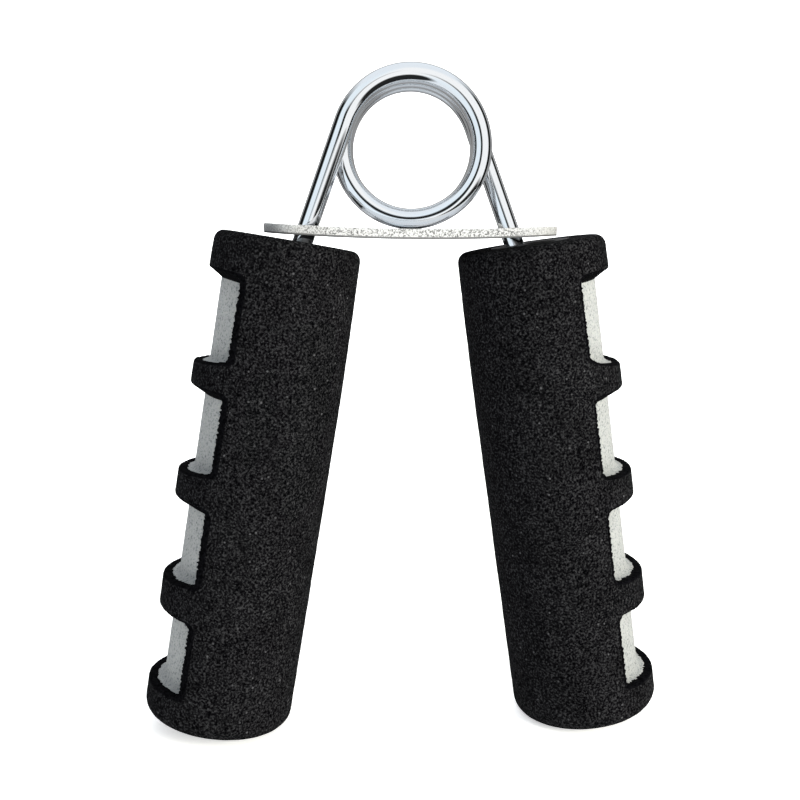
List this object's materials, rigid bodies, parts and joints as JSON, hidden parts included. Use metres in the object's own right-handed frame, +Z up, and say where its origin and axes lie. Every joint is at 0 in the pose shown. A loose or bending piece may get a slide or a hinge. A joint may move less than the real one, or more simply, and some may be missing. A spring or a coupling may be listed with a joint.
{
  "type": "hand grip strengthener",
  "caption": "Torsion-spring hand gripper: coil spring, slotted stop plate and foam handles with finger notches; the handles squeeze together.",
  "frame": {"origin": "bottom centre of the bounding box, below the spring's coil", "axes": "+Z up towards the coil, +X to the right handle, +Y to the back, along the coil's axis"},
  "size_m": [0.1034, 0.0358, 0.1279],
  "materials": {
    "spring_steel": "polished plating",
    "plate_steel": "bright stamped strip",
    "core_plastic": "matte",
    "grey_foam": "soft closed-cell foam, fine grain",
    "black_foam": "soft closed-cell foam, fine grain"
  },
  "bodies": {
    "left_handle": {"leg_left": "spring_steel", "core_left": "core_plastic", "grey_foam_left": "grey_foam", "black_foam_left": "black_foam"},
    "right_handle": {"leg_right": "spring_steel", "core_right": "core_plastic", "grey_foam_right": "grey_foam", "black_foam_right": "black_foam"},
    "spring_middle": {"spring_coil": "spring_steel", "stop_plate": "plate_steel"}
  },
  "joints": [
    {"name": "squeeze", "type": "hinge", "parent": "left_handle", "child": "right_handle", "pos_m": [0, 0, 0.11304], "axis": [0, 1, 0], "range_deg": [0, 22], "stiffness_Nm_per_rad": 9, "springref_deg": -6.88, "deforming": ["spring_coil"]},
    {"name": "coil_follow", "type": "hinge", "parent": "left_handle", "child": "spring_middle", "pos_m": [0, 0, 0.11304], "axis": [0, 1, 0], "range_deg": [0, 11]}
  ],
  "couplings": [
    {"joint": "coil_follow", "follows": "squeeze", "ratio": 0.5}
  ]
}
